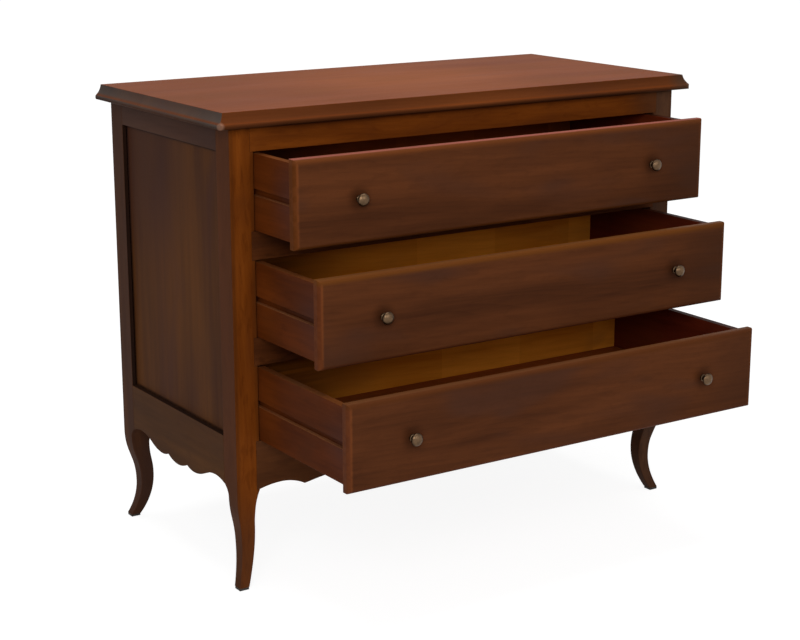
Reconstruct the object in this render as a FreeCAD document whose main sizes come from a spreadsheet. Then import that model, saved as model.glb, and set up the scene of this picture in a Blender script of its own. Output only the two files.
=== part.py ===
"""Commode with three side-hung drawers on square-section cabriole legs.

Frame: X to the viewer's right, Y to the back, Z up. The origin is on the floor,
midway between the sides, and midway between the back edge of the top board and
the knobs of the drawer that stands open furthest. Lengths are millimetres.

The driving sizes are in the spreadsheet "sizes". Places that follow from them are
expressions in the variable set "places". Every solid takes its sizes from these two.
"""
import FreeCAD, Part
import math
import os
import re

import Sketcher
from FreeCAD import Placement, Rotation, Vector

SIZES = (
    # case
    ("case_width", 1000.0, "across the outer faces of the posts"),
    ("case_depth", 479.0, "from the front to the back faces of the posts"),
    ("total_height", 873.0, "floor to the upper face of the top"),
    ("post_width", 47.0, "post, seen from the front"),
    ("post_depth", 49.0, "post, seen from the side"),
    # top board
    ("top_thick", 28.0, "top board"),
    ("front_overhang", 22.5, "nose of the top beyond the front of the posts"),
    ("side_overhang", 29.0, "nose of the top beyond the sides of the posts"),
    ("back_overhang", 5.0, "square back edge of the top beyond the posts"),
    ("hollow_reach", 10.5, "hollow of the moulded edge, outwards from the flat upper face"),
    ("hollow_depth", 2.0, "that hollow behind the straight line between its ends"),
    ("nose_height", 8.7, "from the foot of that hollow to the underside"),
    ("nose_reach", 1.5, "nose beyond the foot of the hollow"),
    ("nose_shoulder", 3.2, "rounding above the upright nose, downwards"),
    ("nose_under_radius", 3.0, "rounding under the nose"),
    ("nose_corner_radius", 9.0, "rounding of the nose's corners, in plan"),
    # leg
    ("glide_height", 4.0, "sole under each foot"),
    ("glide_inset", 1.0, "sole inside the foot's outline"),
    ("foot_width", 20.5, "square foot"),
    ("ankle_height", 75.0, "where the outer faces stand furthest in"),
    ("ankle_inset", 15.3, "how far in they stand there"),
    ("calf_height", 92.0, "where the inner faces stand furthest in"),
    ("calf_inset", 42.3, "inner faces from the case's corner there"),
    ("neck_height", 150.0, "where the inner faces come back out, seen from the front"),
    ("neck_inset", 38.0, "inner faces from the case's corner there"),
    ("side_neck_height", 174.0, "the same, seen from the side"),
    ("side_neck_inset", 35.5, "the same, seen from the side"),
    ("knee_height", 183.0, "where the outer faces run into the post"),
    ("bracket_height", 188.0, "where the leg's inner face meets the front apron"),
    ("side_bracket_height", 193.0, "where the leg's inner face meets the side apron"),
    # front frame
    ("opening_height", 140.0, "drawer opening"),
    ("top_rail_height", 44.5, "top rails, on all four sides"),
    ("rail_height", 51.0, "rail between two drawers"),
    ("front_rail_thick", 24.0, "front rails and front apron"),
    ("rail_housing", 6.0, "rail end let into the post's inner face"),
    ("front_apron_height", 97.5, "front apron, to the tip of its cusps"),
    ("front_hollow_inset", 45.0, "crown of its low arch beside the leg, from the post"),
    ("front_hollow_rise", 13.0, "that crown above the cusps"),
    ("front_cusp_inset", 93.0, "its cusp from the post"),
    ("front_arch_inset", 269.0, "crown of its long arch, from the post"),
    ("front_arch_rise", 17.0, "that crown above the cusps"),
    ("front_lobe_rise", 4.0, "foot of the lobe in the middle above the cusps"),
    # side frame
    ("side_apron_top", 284.5, "lower edge of the visible side panel"),
    ("side_apron_height", 109.5, "side apron, to the foot of its middle lobe"),
    ("side_crown_inset", 34.5, "crown of its arch beside a leg, from the post"),
    ("side_crown_rise", 25.0, "that crown above the foot of the middle lobe"),
    ("side_lobe_spacing", 134.0, "between the feet of the outer lobes"),
    ("side_lobe_rise", 4.0, "those feet above the foot of the middle lobe"),
    ("side_cusp_spacing", 79.0, "between the cusps beside the middle lobe"),
    ("side_cusp_rise", 10.0, "those cusps above the foot"),
    ("side_rail_thick", 22.0, "side rails and side aprons"),
    # back frame
    ("back_rail_thick", 20.0, "back rails and muntin"),
    ("back_rail_height", 60.0, "bottom rail of the back"),
    ("back_rail_bottom", 225.0, "its lower edge above the floor"),
    ("muntin_width", 60.0, "upright in the middle of the back"),
    # panels and joinery
    ("panel_thick", 8.0, "side and back panels"),
    ("panel_recess", 9.0, "panel face behind its frame's outer face"),
    ("panel_groove", 8.0, "depth of the grooves that hold the panels"),
    ("panel_play", 1.0, "room for the panel to move at the groove's floor"),
    ("tenon_thick", 8.0, "all tenons"),
    ("tenon_length", 24.0, "tenon beyond its shoulder"),
    ("side_tenon_length", 20.0, "tenon of the side rails"),
    ("tenon_shoulder", 9.0, "rail above and below its tenon"),
    ("mortise_play", 1.0, "glue room at the end of a mortise"),
    # runners
    ("runner_height", 10.0, "runner strip"),
    ("runner_reach", 8.0, "runner beyond the post, into the drawer side"),
    ("runner_housing", 8.0, "runner let into the post"),
    ("runner_setback", 12.0, "runner's front end behind the post's face"),
    ("runner_screw_inset", 30.0, "runner screw from the post's outer face"),
    # fastenings
    ("screw_radius", 2.0, "shank of every wood screw"),
    ("screw_head_radius", 3.9, "countersunk head"),
    ("screw_head_depth", 2.6, "countersunk head"),
    ("screw_length", 30.0, "screws of runners and buttons"),
    ("hole_clearance", 0.1, "hole round a screw"),
    ("button_length", 32.0, "button along its rail"),
    ("button_width", 28.0, "button out from its rail"),
    ("button_thick", 15.0, "button under the top"),
    ("button_tongue", 8.0, "tongue of the button, both ways"),
    ("button_spacing", 500.0, "between the two buttons of a long rail"),
    ("button_gap", 0.3, "button from the rail's face"),
    # drawers
    ("drawer_gap_side", 1.5, "drawer side from the post"),
    ("drawer_gap_top", 3.0, "drawer side under the rail"),
    ("drawer_gap_bottom", 1.5, "drawer side above the rail"),
    ("drawer_side_thick", 14.0, "drawer side"),
    ("drawer_side_length", 420.0, "drawer side behind the front"),
    ("drawer_back_depth", 368.0, "inside of the drawer, front to back"),
    ("drawer_back_thick", 13.0, "drawer back"),
    ("drawer_back_drop", 4.0, "drawer back below the top of the sides"),
    ("drawer_bottom_thick", 5.0, "drawer bottom"),
    ("drawer_bottom_rise", 18.0, "drawer bottom above the sides' lower edge"),
    ("drawer_groove", 5.0, "housings in the drawer sides and front"),
    ("side_groove_height", 12.0, "groove that hangs on the runner"),
    ("side_groove_rise", 63.0, "groove's lower lip above the opening"),
    ("side_groove_depth", 7.5, "that groove, into the drawer side"),
    ("running_gap", 0.3, "between sliding faces at rest"),
    ("front_thick", 18.0, "drawer front"),
    ("front_round", 8.0, "rounded edge of the drawer front"),
    ("lip_side", 1.5, "drawer front beyond its opening, each side"),
    ("lip_top", 4.5, "drawer front above its opening"),
    ("lip_bottom", 10.5, "drawer front below its opening"),
    ("top_drawer_open", 124.0, "how far the drawer stands open"),
    ("middle_drawer_open", 199.0, "how far the drawer stands open"),
    ("bottom_drawer_open", 287.0, "how far the drawer stands open"),
    # knobs
    ("knob_inset", 127.0, "knob from the end of its drawer front"),
    ("knob_radius", 11.5, "head of the knob"),
    ("knob_height", 20.0, "knob out from the drawer front"),
    ("knob_base_radius", 6.5, "foot of the knob"),
    ("knob_base_thick", 1.5, "foot of the knob"),
    ("knob_neck_radius", 4.0, "stem of the knob"),
    ("knob_neck_out", 7.2, "where the stem is thinnest, out from the drawer front"),
    ("knob_brim_out", 13.6, "where the head is widest, out from the drawer front"),
    ("knob_screw_radius", 2.0, "shank of the knob's screw"),
    ("knob_screw_head", 4.0, "head of the knob's screw"),
    ("knob_screw_head_thick", 2.4, "head of the knob's screw"),
    ("knob_screw_bite", 9.0, "screw's end inside the knob"),
)

PLACES = (
    ("post_x", "case_width / 2 - post_width"),
    ("furthest_open", "max(top_drawer_open; middle_drawer_open; bottom_drawer_open)"),
    ("open_reach", "furthest_open + front_thick + knob_height"),
    ("front_y", "(open_reach - case_depth - back_overhang) / 2"),
    ("back_y", "front_y + case_depth"),
    ("middle_y", "(front_y + back_y) / 2"),
    ("front_inner_y", "front_y + post_depth"),
    ("back_inner_y", "back_y - post_depth"),
    ("side_span", "back_inner_y - front_inner_y"),
    ("under_top_z", "total_height - top_thick"),
    ("top_rail_z", "under_top_z - top_rail_height"),
    ("top_drawer_z", "top_rail_z - opening_height"),
    ("middle_drawer_z", "top_drawer_z - rail_height - opening_height"),
    ("bottom_drawer_z", "middle_drawer_z - rail_height - opening_height"),
    ("front_tip_z", "bottom_drawer_z - front_apron_height"),
    ("front_arch_z", "front_tip_z + front_arch_rise"),
    ("side_foot_z", "side_apron_top - side_apron_height"),
    ("side_crown_z", "side_foot_z + side_crown_rise"),
    ("side_panel_x", "case_width / 2 - panel_recess"),
    ("back_panel_y", "back_y - panel_recess"),
    ("side_tenon_x", "case_width / 2 - side_rail_thick / 2 - tenon_thick / 2"),
    ("front_tenon_y", "front_y + front_rail_thick / 2 - tenon_thick / 2"),
    ("back_tenon_y", "back_y - back_rail_thick / 2 - tenon_thick / 2"),
    ("back_rail_top", "back_rail_bottom + back_rail_height"),
    ("groove_top_rise", "side_groove_rise + side_groove_height"),
    ("runner_rise", "groove_top_rise - running_gap - runner_height"),
    ("runner_inner_x", "post_x - runner_reach"),
    ("runner_front_y", "front_y + runner_setback"),
    ("runner_back_y", "back_inner_y + runner_screw_inset - runner_setback"),
    ("drawer_side_x", "post_x - drawer_gap_side"),
    ("drawer_inner_x", "drawer_side_x - drawer_side_thick"),
    ("drawer_side_height", "opening_height - drawer_gap_top - drawer_gap_bottom"),
)

DRAWERS = ("top", "middle", "bottom")

DOC = FreeCAD.newDocument("commode")
PIECES = []


def make_sheet():
    """Fill the spreadsheet: a name, a plain number and a note in each row."""
    sheet = DOC.addObject("Spreadsheet::Sheet", "sizes")
    for row, (name, number, note) in enumerate(SIZES, start=1):
        sheet.set(f"A{row}", name)
        sheet.set(f"B{row}", str(number))
        sheet.set(f"C{row}", note)
        sheet.setAlias(f"B{row}", name)
    DOC.recompute()
    return sheet


SHEET = make_sheet()
SIZE_NAMES = {name for name, number, note in SIZES}
PLACE_NAMES = {name for name, text in PLACES}


def qualified(text):
    """Write the owner in front of each size or place in an expression."""
    def with_owner(match):
        name = match.group(0)
        if name in SIZE_NAMES:
            return "sizes." + name
        if name in PLACE_NAMES:
            return "places." + name
        return name
    return re.sub(r"[a-z][a-z_0-9]*", with_owner, text)


def make_places():
    """Work the derived places out of the sizes, as bound properties."""
    places = DOC.addObject("App::VarSet", "places")
    for name, text in PLACES:
        places.addProperty("App::PropertyFloat", name)
        places.setExpression(name, qualified(text))
    DOC.recompute()
    return places


PLACES_SET = make_places()


def size(name):
    """A size or a place as a plain number, for the shapes made in code."""
    if name in SIZE_NAMES:
        return float(SHEET.get(name))
    return getattr(PLACES_SET, name)


# ---- building blocks -------------------------------------------------------

def bind(thing, prop, text):
    thing.setExpression(prop, qualified(str(text)))


def place_at(thing, corner):
    for axis, text in zip("xyz", corner):
        bind(thing, f"Placement.Base.{axis}", text)


def box(name, lengths, corner):
    """A block with its lengths and its lowest corner given as expressions."""
    block = DOC.addObject("Part::Box", name)
    for prop, text in zip(("Length", "Width", "Height"), lengths):
        bind(block, prop, text)
    place_at(block, corner)
    return block


def fuse(name, parts):
    joined = DOC.addObject("Part::MultiFuse", name)
    joined.Shapes = parts
    joined.Refine = True
    return joined


def cut(name, base, tools):
    """Cut the tools out of the base."""
    result = DOC.addObject("Part::Cut", name)
    result.Base = base
    result.Tool = tools[0] if len(tools) == 1 else fuse(name + "_tools", tools)
    result.Refine = True
    return result


def group(name, parts):
    """Separate solids that share one node."""
    compound = DOC.addObject("Part::Compound", name)
    compound.Links = parts
    return compound


def mirrored(name, source, normal):
    """The source reflected in a plane through the middle of the case."""
    twin = DOC.addObject("Part::Mirroring", name)
    twin.Source = source
    twin.Normal = normal
    bind(twin, "Base.y", "middle_y")
    return twin


def modelled(name, shape, corner=(0.0, 0.0, 0.0)):
    """A shape made in code, placed after its shape is set."""
    feature = DOC.addObject("Part::Feature", name)
    feature.Shape = shape
    feature.Placement = Placement(Vector(*corner), Rotation())
    return feature


def piece(label, thing):
    """Register a finished piece under the name of its node."""
    thing.Label = label
    PIECES.append(thing)
    return thing


def both_sides(label, left):
    """Register a left-hand piece and its reflection on the right."""
    piece(label + "_left", left)
    piece(label + "_right", mirrored(label + "_twin", left, Vector(1, 0, 0)))


def line(start, end):
    return Part.LineSegment(start, end).toShape()


def arc(start, middle, end):
    return Part.Arc(start, middle, end).toShape()


def bezier(poles):
    curve = Part.BezierCurve()
    curve.setPoles(poles)
    return curve.toShape()


def prism(edges, push):
    """Extrude the face inside a closed chain of edges."""
    return Part.Face(Part.Wire(edges)).extrude(push)


# ---- top board -------------------------------------------------------------

def upright_arc_middle(across, height):
    """Middle of an arc with one upright end: how far it lies from that end, across and in height."""
    half_turn = math.atan2(across, height)
    radius = height / math.sin(2 * half_turn)
    return radius * (1 - math.cos(half_turn)), radius * math.sin(half_turn)


def moulded_edge(at):
    """The edge from the upper face down, at(out, height) giving the points.

    A hollow flares out and ends over a low upright nose. Out is measured from the
    edge of the flat upper face.
    """
    thick = size("top_thick")
    hollow = size("hollow_reach")
    depth = size("hollow_depth")
    shoulder = size("nose_shoulder")
    under = size("nose_under_radius")
    half = math.sqrt(0.5)
    widest = hollow + size("nose_reach")
    hollow_z = size("nose_height") - thick
    nose_z = hollow_z - shoulder
    chord = math.hypot(hollow, hollow_z)
    hollow_middle = at(hollow / 2 + depth * hollow_z / chord, hollow_z / 2 - depth * hollow / chord)
    shoulder_middle = upright_arc_middle(size("nose_reach"), shoulder)
    return [
        arc(at(0, 0), hollow_middle, at(hollow, hollow_z)),
        arc(at(hollow, hollow_z), at(widest - shoulder_middle[0], nose_z + shoulder_middle[1]),
            at(widest, nose_z)),
        line(at(widest, nose_z), at(widest, -thick + under)),
        arc(at(widest, -thick + under), at(widest - under + under * half, -thick + under - under * half),
            at(widest - under, -thick)),
    ]


def top_board():
    """The two moulded outlines, crossed, so that the edges meet in mitres."""
    thick = size("top_thick")
    step = size("hollow_reach") + size("nose_reach")
    under = size("nose_under_radius")
    half_width = size("case_width") / 2 + size("side_overhang")
    front = size("front_y") - size("front_overhang")
    back = size("back_y") + size("back_overhang")

    def front_edge(out, height):
        return Vector(-half_width, front + step - out, height)

    def left_edge(out, height):
        return Vector(-half_width + step - out, front, height)

    def right_edge(out, height):
        return Vector(half_width - step + out, front, height)

    under_front = Vector(-half_width, front + under, -thick)
    back_low = Vector(-half_width, back, -thick)
    back_high = Vector(-half_width, back, 0)
    across = prism(
        moulded_edge(front_edge) + [
            line(under_front, back_low),
            line(back_low, back_high),
            line(back_high, front_edge(0, 0)),
        ], Vector(2 * half_width, 0, 0))
    through = prism(
        moulded_edge(left_edge) + [
            line(left_edge(step - under, -thick), right_edge(step - under, -thick)),
            line(left_edge(0, 0), right_edge(0, 0)),
        ] + moulded_edge(right_edge), Vector(0, back - front, 0))
    board = across.common(through)

    radius = size("nose_corner_radius")
    for side in (-1, 1):
        corner = Vector(side * half_width, front, -thick)
        along = corner + Vector(-side * radius, 0, 0)
        inward = corner + Vector(0, radius, 0)
        middle = corner + Vector(-side * radius, radius, 0) * (1 - math.sqrt(0.5))
        waste = prism([line(corner, along), arc(along, middle, inward), line(inward, corner)],
                      Vector(0, 0, thick))
        board = board.cut(waste)
    return board


# ---- posts and legs --------------------------------------------------------

def leg_outline(post_breadth, neck, neck_z, bracket_z, at):
    """Outline of a post and its leg in one elevation, at(inset, height) giving the points.

    The inset is measured from the case's corner towards its middle.
    """
    foot_z = size("glide_height")
    foot = size("foot_width")
    ankle_z = size("ankle_height")
    ankle = size("ankle_inset")
    calf_z = size("calf_height")
    calf = size("calf_inset")
    knee_z = size("knee_height")
    head_z = size("under_top_z")
    shin = (knee_z - ankle_z) / 2
    back_of_calf = (neck_z - calf_z) / 2
    bracket_rise = bracket_z - neck_z
    return [
        bezier([at(0, foot_z), at(ankle, (foot_z + ankle_z) / 2), at(ankle, ankle_z)]),
        bezier([at(ankle, ankle_z), at(ankle, ankle_z + shin), at(0, knee_z - shin), at(0, knee_z)]),
        line(at(0, knee_z), at(0, head_z)),
        line(at(0, head_z), at(post_breadth, head_z)),
        line(at(post_breadth, head_z), at(post_breadth, bracket_z)),
        bezier([at(post_breadth, bracket_z), at(neck, neck_z + bracket_rise / 2), at(neck, neck_z)]),
        bezier([at(neck, neck_z), at(neck, neck_z - back_of_calf),
                at(calf, calf_z + back_of_calf), at(calf, calf_z)]),
        bezier([at(calf, calf_z), at(calf, (foot_z + calf_z) / 2), at(foot, foot_z)]),
        line(at(foot, foot_z), at(0, foot_z)),
    ]


def post_blank():
    """Front left post before its mortises: the same curve sawn on two faces."""
    breadth = size("post_width")
    depth = size("post_depth")
    front_view = leg_outline(breadth, size("neck_inset"), size("neck_height"), size("bracket_height"),
                             lambda inset, z: Vector(inset, 0, z))
    side_view = leg_outline(depth, size("side_neck_inset"), size("side_neck_height"),
                            size("side_bracket_height"), lambda inset, z: Vector(0, inset, z))
    return prism(front_view, Vector(0, depth, 0)).common(prism(side_view, Vector(breadth, 0, 0)))


def tenon_pair(name, span, thick_at, z_range, extra):
    """A block that makes the tenons on both ends of a rail along X, or their mortises.

    span is half of the rail's length between shoulders, extra lengthens each end.
    """
    low, height = z_range
    half = f"({span} + tenon_length + {extra})"
    return box(name, (f"2 * {half}", "tenon_thick", f"{height} - 2 * tenon_shoulder"),
               (f"-{half}", thick_at, f"{low} + tenon_shoulder"))


def side_tenon_pair(name, z_range, extra):
    """The same for a rail along Y on the left side."""
    low, height = z_range
    reach = f"(side_tenon_length + {extra})"
    return box(name, ("tenon_thick", f"side_span + 2 * {reach}", f"{height} - 2 * tenon_shoulder"),
               ("-side_tenon_x - tenon_thick", f"front_inner_y - {reach}", f"{low} + tenon_shoulder"))


# Lower edge and height of each board that is joined to the posts. The tenons of an
# apron stay above its highest crown.
FRONT_APRON_RANGE = ("bracket_height", "(bottom_drawer_z - bracket_height)")
FRONT_APRON_TENON_RANGE = ("front_arch_z", "(bottom_drawer_z - front_arch_z)")
SIDE_APRON_TENON_RANGE = ("side_crown_z", "(side_apron_top - side_crown_z)")
SIDE_TOP_RANGE = ("top_rail_z", "top_rail_height")
FRONT_RAILS = (
    ("rail_front_top", ("top_rail_z", "top_rail_height")),
    ("rail_front_upper", ("(top_drawer_z - rail_height)", "rail_height")),
    ("rail_front_lower", ("(middle_drawer_z - rail_height)", "rail_height")),
)
BACK_RAILS = (
    ("rail_back_top", ("top_rail_z", "top_rail_height")),
    ("rail_back_bottom", ("back_rail_bottom", "back_rail_height")),
)


def side_panel_block(name, play):
    """The left side panel, or with no play the room that its grooves make."""
    reach = f"(panel_groove - {play})"
    return box(name, ("panel_thick", f"side_span + 2 * {reach}",
                      f"top_rail_z - side_apron_top + 2 * {reach}"),
               ("-side_panel_x", f"front_inner_y - {reach}", f"side_apron_top - {reach}"))


def back_panel_block(name, play):
    """The left back panel, or with no play the room that its grooves make."""
    reach = f"(panel_groove - {play})"
    return box(name, (f"post_x - muntin_width / 2 + 2 * {reach}", "panel_thick",
                      f"top_rail_z - back_rail_top + 2 * {reach}"),
               (f"-post_x - {reach}", "back_panel_y - panel_thick", f"back_rail_top - {reach}"))


def runner_block(name, drawer):
    """A left runner, which is also the shape of its housings in the posts."""
    return box(name, ("runner_housing + runner_reach", "runner_back_y - runner_front_y", "runner_height"),
               ("-post_x - runner_housing", "runner_front_y", f"{drawer}_drawer_z + runner_rise"))


# ---- screws ----------------------------------------------------------------

def screw_shape(length, play):
    """A countersunk wood screw along +Z with its head's face at z = 0, grown by play."""
    head = size("screw_head_radius") + play
    shank = size("screw_radius") + play
    depth = size("screw_head_depth")
    tip = length - 2 * shank + play
    corners = [(0, 0), (head, 0), (shank, depth), (shank, tip), (0, length + play), (0, 0)]
    points = [Vector(radius, 0, z) for radius, z in corners]
    return Part.Face(Part.makePolygon(points)).revolve(Vector(), Vector(0, 0, 1), 360)


def screws(places, direction, play=0.0):
    """One screw, or with some play its hole, at each place, all pointing one way."""
    shape = screw_shape(size("screw_length"), play)
    turn = Rotation(Vector(0, 0, 1), direction)
    copies = []
    for spot in places:
        copy = shape.copy()
        copy.Placement = Placement(spot, turn)
        copies.append(copy)
    return Part.Compound(copies)


def runner_screw_places():
    """Heads of the left runners' screws, one at each post."""
    inset = size("runner_screw_inset")
    spots = []
    for drawer in DRAWERS:
        height = size(f"{drawer}_drawer_z") + size("runner_rise") + size("runner_height") / 2
        for y in (size("front_y") + inset, size("back_y") - inset):
            spots.append(Vector(-size("runner_inner_x"), y, height))
    return spots


def button_spots():
    """Where each button stands on its rail's inner face, and the way it points."""
    half = size("button_spacing") / 2
    gap = size("button_gap")
    front = size("front_y") + size("front_rail_thick") + gap
    back = size("back_y") - size("back_rail_thick") - gap
    side = size("case_width") / 2 - size("side_rail_thick") - gap
    middle = size("middle_y")
    return [
        (-half, front, 0), (half, front, 0),
        (half, back, 180), (-half, back, 180),
        (side, middle, 90), (-side, middle, 270),
    ]


def button_shape(play):
    """A button from its rail's face towards +Y, hung from z = 0, or the room of its tongue."""
    length = size("button_length") + 2 * play
    thick = size("button_thick")
    tongue = size("button_tongue")
    gap = size("button_gap")
    lip = Part.makeBox(length, tongue + gap + play, tongue + play,
                       Vector(-length / 2, -tongue - gap - play, -thick - play / 2))
    if play:
        return lip
    block = Part.makeBox(length, size("button_width"), thick, Vector(-length / 2, 0, -thick))
    hole = screw_shape(size("screw_length"), size("hole_clearance"))
    hole.Placement = Placement(Vector(0, size("button_width") / 2, -thick), Rotation())
    return block.fuse(lip).removeSplitter().cut(hole)


def button_set(make):
    """What make returns, turned and placed at each button's spot."""
    copies = []
    for x, y, angle in button_spots():
        copy = make()
        spot = Placement(Vector(x, y, size("under_top_z")), Rotation(Vector(0, 0, 1), angle))
        copy.Placement = spot.multiply(copy.Placement)
        copies.append(copy)
    return Part.Compound(copies)


def button_screw(play):
    """The screw of a button, in the button's own frame."""
    shape = screw_shape(size("screw_length"), play)
    shape.Placement = Placement(Vector(0, size("button_width") / 2, -size("button_thick")), Rotation())
    return shape


# ---- aprons ----------------------------------------------------------------

# A shallow arc that is level at one end bulges by this share of its rise.
LEVEL_ARC = 0.25


def ogee(start, end):
    """Two stretches of a lower edge that is level at both ends and turns halfway."""
    along = (start[0] + end[0]) / 2
    height = (start[1] + end[1]) / 2
    bulge = (start[1] - height) * LEVEL_ARC
    return [(along, height, bulge), (end[0], end[1], -bulge)]


def apron(points, push, top_z, at):
    """A board whose lower edge is a chain of arcs and lines, at(along, height) giving the points.

    points holds (along, height, bulge): bulge lifts the middle of the stretch that
    ends there above its chord, so a negative one makes a hanging lobe.
    """
    edges = []
    for (a0, z0, skip), (a1, z1, bulge) in zip(points, points[1:]):
        start = at(a0, z0)
        end = at(a1, z1)
        if bulge:
            edges.append(arc(start, at((a0 + a1) / 2, (z0 + z1) / 2 + bulge), end))
        else:
            edges.append(line(start, end))
    first = points[0]
    last = points[-1]
    edges += [
        line(at(last[0], last[1]), at(last[0], top_z)),
        line(at(last[0], top_z), at(first[0], top_z)),
        line(at(first[0], top_z), at(first[0], first[1])),
    ]
    return prism(edges, push)


def there_and_back(half):
    """Continue an outline that ends in the middle with its own reflection."""
    back = []
    for (a0, z0, bulge0), (a1, z1, bulge1) in zip(half, half[1:]):
        back.append((-a0, z0, bulge1))
    return half + back[::-1]


def side_apron_board():
    """Left side apron: an arch beside each leg, and three hanging lobes between them."""
    end = size("side_span") / 2
    bracket = size("side_bracket_height")
    foot = size("side_foot_z")
    crown = size("side_crown_z")
    lobe = foot + size("side_lobe_rise")
    cusp = foot + size("side_cusp_rise")
    crown_y = end - size("side_crown_inset")
    lobe_y = size("side_lobe_spacing") / 2
    cusp_y = size("side_cusp_spacing") / 2
    half = [(-end, bracket, 0), (-crown_y, crown, (crown - bracket) * LEVEL_ARC)]
    half += ogee((-crown_y, crown), (-lobe_y, lobe))
    half += [(-cusp_y, cusp, (lobe - cusp) * LEVEL_ARC), (0, foot, (foot - cusp) * LEVEL_ARC)]
    return apron(there_and_back(half), Vector(size("side_rail_thick"), 0, 0), size("side_apron_top"),
                 lambda along, z: Vector(0, along, z))


def front_apron_board():
    """Front apron: a low arch and a cusp beside each leg, and a long arch with a lobe in its middle."""
    post = size("post_x")
    bracket = size("bracket_height")
    tip = size("front_tip_z")
    hollow = tip + size("front_hollow_rise")
    arch = size("front_arch_z")
    lobe = tip + size("front_lobe_rise")
    arch_x = post - size("front_arch_inset")
    half = [
        (-post - size("rail_housing"), bracket, 0),
        (-post, bracket, 0),
        (-post + size("front_hollow_inset"), hollow, (hollow - bracket) * LEVEL_ARC),
        (-post + size("front_cusp_inset"), tip, (hollow - tip) * LEVEL_ARC),
        (-arch_x, arch, (arch - tip) * LEVEL_ARC),
    ]
    half += ogee((-arch_x, arch), (0, lobe))
    return apron(there_and_back(half), Vector(0, size("front_rail_thick"), 0), size("bottom_drawer_z"),
                 lambda along, z: Vector(along, 0, z))


# ---- case ------------------------------------------------------------------

def build_case():
    blank = modelled("top_board_blank", top_board(), (0, 0, size("total_height")))
    play = size("hole_clearance")
    holes = modelled("top_screw_holes", button_set(lambda: button_screw(play)))
    piece("top_board", cut("top_board_drilled", blank, [holes]))
    build_posts()
    build_front_frame()
    build_sides()
    build_back()
    build_runners()
    build_buttons()
    build_glides()


def build_posts():
    """Left posts with their mortises, and their reflections."""
    blank = modelled("post_blank", post_blank(), (-size("case_width") / 2, size("front_y"), 0))
    shared = [
        side_tenon_pair("mortise_side_top", SIDE_TOP_RANGE, "mortise_play"),
        side_tenon_pair("mortise_side_apron", SIDE_APRON_TENON_RANGE, "mortise_play"),
        side_panel_block("side_panel_room", "0"),
        modelled("runner_screw_holes",
                 screws(runner_screw_places(), Vector(-1, 0, 0), size("hole_clearance"))),
    ]
    shared += [runner_block(f"runner_housing_{drawer}", drawer) for drawer in DRAWERS]
    joints = fuse("left_side_joints", shared)

    front_tools = [joints]
    front_boards = [(name, z_range, z_range) for name, z_range in FRONT_RAILS]
    front_boards.append(("apron_front", FRONT_APRON_RANGE, FRONT_APRON_TENON_RANGE))
    for name, z_range, tenon_range in front_boards:
        low, height = z_range
        front_tools.append(tenon_pair(f"mortise_{name}", "(post_x + rail_housing)", "front_tenon_y",
                                      tenon_range, "mortise_play"))
        front_tools.append(box(f"housing_{name}",
                               ("2 * (post_x + rail_housing)", "front_rail_thick", height),
                               ("-post_x - rail_housing", "front_y", low)))
    both_sides("post_front", cut("post_front_cut", blank, front_tools))

    back_tools = [joints, back_panel_block("back_panel_room", "0")]
    for name, z_range in BACK_RAILS:
        back_tools.append(tenon_pair(f"mortise_{name}", "post_x", "back_tenon_y", z_range, "mortise_play"))
    back_blank = mirrored("post_blank_back", blank, Vector(0, 1, 0))
    both_sides("post_back", cut("post_back_cut", back_blank, back_tools))


def build_front_frame():
    half = "(post_x + rail_housing)"
    for name, z_range in FRONT_RAILS:
        low, height = z_range
        bar = box(f"{name}_bar", (f"2 * {half}", "front_rail_thick", height), (f"-{half}", "front_y", low))
        tenons = tenon_pair(f"{name}_tenons", half, "front_tenon_y", z_range, "0")
        rail = fuse(f"{name}_solid", [bar, tenons])
        if name == "rail_front_top":
            rail = cut(f"{name}_slotted", rail, [button_slots(name)])
        piece(name, rail)
    board = modelled("apron_front_board", front_apron_board(), (0, size("front_y"), 0))
    tenons = tenon_pair("apron_front_tenons", half, "front_tenon_y", FRONT_APRON_TENON_RANGE, "0")
    piece("apron_front", fuse("apron_front_solid", [board, tenons]))


def button_slots(name):
    """Slots that the buttons' tongues enter, at every button."""
    play = size("mortise_play")
    return modelled(f"{name}_slots", button_set(lambda: button_shape(play)))


def build_sides():
    """Top rail, apron and panel of the left side, and their reflections."""
    bar = box("side_rail_bar", ("side_rail_thick", "side_span", "top_rail_height"),
              ("-case_width / 2", "front_inner_y", "top_rail_z"))
    rail = fuse("side_rail_solid", [bar, side_tenon_pair("side_rail_tenons", SIDE_TOP_RANGE, "0")])
    both_sides("rail_side", cut("side_rail_cut", rail, [
        side_panel_block("side_rail_groove", "0"), button_slots("side_rail")]))

    board = modelled("side_apron_board", side_apron_board(), (-size("case_width") / 2, size("middle_y"), 0))
    apron_solid = fuse("side_apron_solid",
                       [board, side_tenon_pair("side_apron_tenons", SIDE_APRON_TENON_RANGE, "0")])
    both_sides("apron_side", cut("side_apron_cut", apron_solid, [side_panel_block("side_apron_groove", "0")]))
    both_sides("panel_side", side_panel_block("side_panel_board", "panel_play"))


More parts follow.
